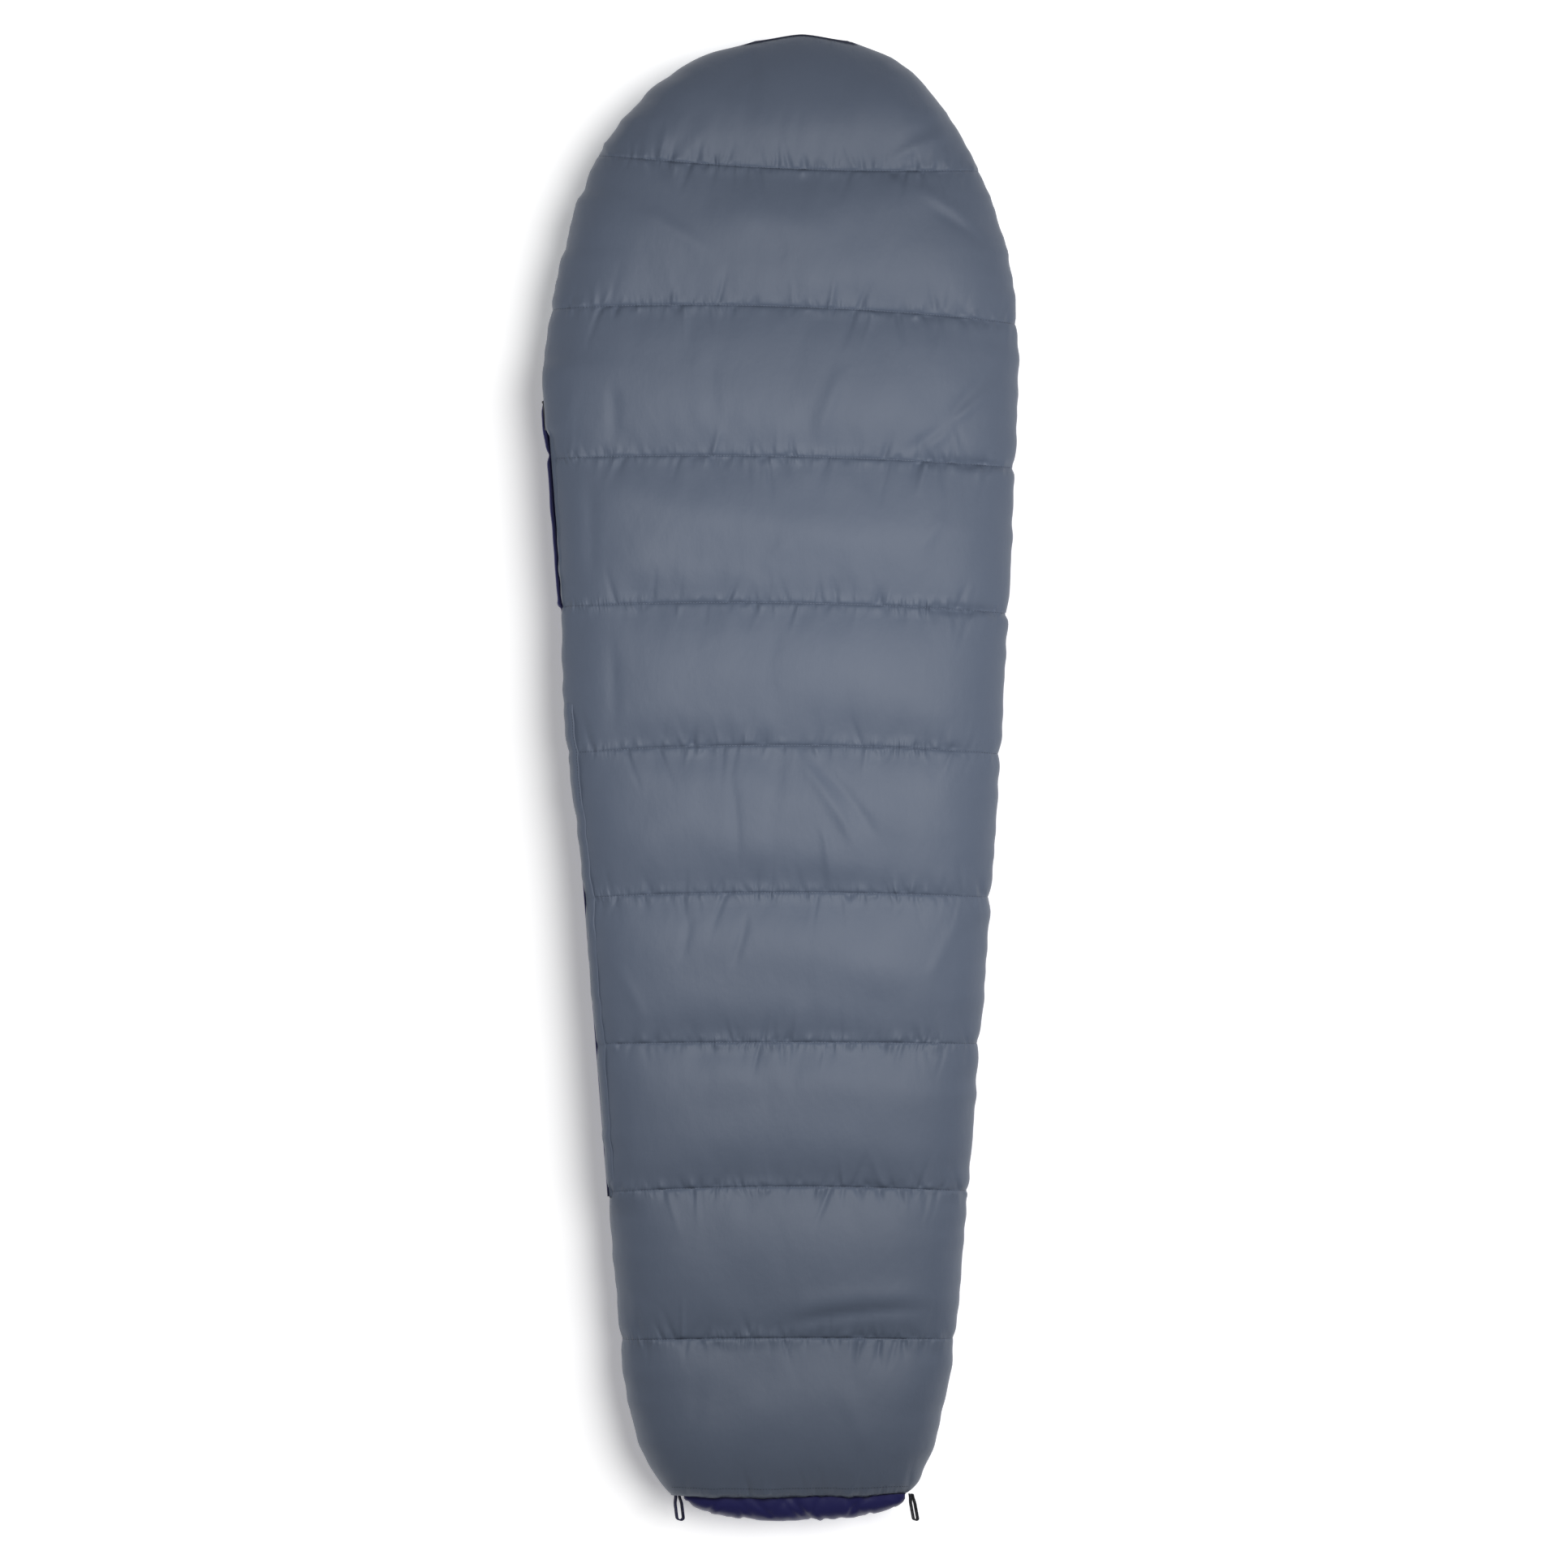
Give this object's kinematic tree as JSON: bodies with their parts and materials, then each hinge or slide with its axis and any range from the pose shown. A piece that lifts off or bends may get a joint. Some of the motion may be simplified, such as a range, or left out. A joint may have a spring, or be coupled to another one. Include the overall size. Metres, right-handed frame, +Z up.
{
  "type": "hooded mummy sleeping bag",
  "caption": "Quilted mummy sleeping bag lying face down, with hood, side zip, hood drawcord, cord lock, closing tab and hanging loops at the foot.",
  "frame": {"origin": "on the ground, on the flat middle of the front panel, half way along the bag", "axes": "+Y from the foot to the hood's crown, +X to the side seam that stays closed, +Z up through the back panel"},
  "size_m": [0.7186, 2.2, 0.1292],
  "materials": {
    "grey_taffeta": "satin polyester taffeta",
    "navy_taffeta": "slightly shiny polyester taffeta",
    "liner_cloth": "soft matte lining",
    "wadding": "loose polyester wadding",
    "tape_cloth": "woven tape",
    "coil_plastic": "moulded coil",
    "slider_metal": "dark plated",
    "lock_plastic": "moulded, satin",
    "spring_steel": "drawn wire",
    "hook_tape": "hook and loop tape",
    "webbing": "narrow woven tape",
    "cord_braid": "round braid"
  },
  "bodies": {
    "front_panel": {"front_outer_shell": "navy_taffeta", "front_insulation": "wadding", "front_liner": "liner_cloth", "front_right_gusset": "navy_taffeta", "front_left_gusset": "navy_taffeta", "foot_box_shell": "navy_taffeta", "foot_box_insulation": "wadding", "front_zip_tape": "tape_cloth", "front_zip_coil": "coil_plastic", "zip_bottom_stop": "slider_metal", "zip_top_stop": "slider_metal", "front_edge_piping": "navy_taffeta", "loop_patch": "hook_tape", "right_side_seam": "navy_taffeta"},
    "back_panel": {"back_outer_shell": "grey_taffeta", "back_insulation": "wadding", "back_liner": "liner_cloth", "hood_band_outer_shell": "grey_taffeta", "hood_band_insulation": "wadding", "hood_band_liner": "liner_cloth", "back_right_gusset": "grey_taffeta", "back_left_gusset": "grey_taffeta", "hood_gusset": "grey_taffeta", "back_zip_tape": "tape_cloth", "back_zip_coil": "coil_plastic", "back_zip_facing": "grey_taffeta", "draft_tube": "liner_cloth", "drawcord_tunnel": "grey_taffeta", "hood_drawcord": "cord_braid", "cord_eyelet": "slider_metal"},
    "slider": {"zip_slider": "slider_metal"},
    "pull": {"pull_tab": "slider_metal"},
    "tab": {"closing_tab": "hook_tape"},
    "cord_lock": {"cord_lock_body": "lock_plastic", "cord_lock_spring": "spring_steel"},
    "lock_button": {"cord_lock_button": "lock_plastic"},
    "left_loop": {"left_hanging_loop": "navy_taffeta"},
    "right_loop": {"right_hanging_loop": "webbing"}
  },
  "joints": [
    {"name": "back_opens", "type": "hinge", "parent": "front_panel", "child": "back_panel", "pos_m": [0.25156, -1.06, 0.0646], "axis": [0.0663, 0.9978, 0], "range_deg": [0, 165]},
    {"name": "slider_runs", "type": "slide", "parent": "front_panel", "child": "slider", "axis": [-0.0785, 0.9969, 0], "range_m": [-1.165, 0]},
    {"name": "pull_swings", "type": "hinge", "parent": "slider", "child": "pull", "pos_m": [-0.35307, 0.55618, 0.0646], "axis": [0, 0, -1], "range_deg": [0, 170]},
    {"name": "tab_lifts", "type": "hinge", "parent": "back_panel", "child": "tab", "pos_m": [-0.34974, 0.57, 0.0866], "axis": [-0.0785, 0.9969, 0], "range_deg": [0, 150]},
    {"name": "lock_runs", "type": "slide", "parent": "back_panel", "child": "cord_lock", "axis": [1, 0, 0], "range_m": [-0.025, 0.03]},
    {"name": "button_presses", "type": "slide", "parent": "cord_lock", "child": "lock_button", "axis": [0, -1, 0], "range_m": [0, 0.004], "stiffness_N_per_m": 400},
    {"name": "left_loop_swings", "type": "hinge", "parent": "front_panel", "child": "left_loop", "pos_m": [-0.1542, -1.063, 0.0646], "axis": [0, 0, -1], "range_deg": [0, 60]},
    {"name": "right_loop_swings", "type": "hinge", "parent": "front_panel", "child": "right_loop", "pos_m": [0.1922, -1.063, 0.0646], "axis": [0, 0, 1], "range_deg": [0, 60]}
  ]
}
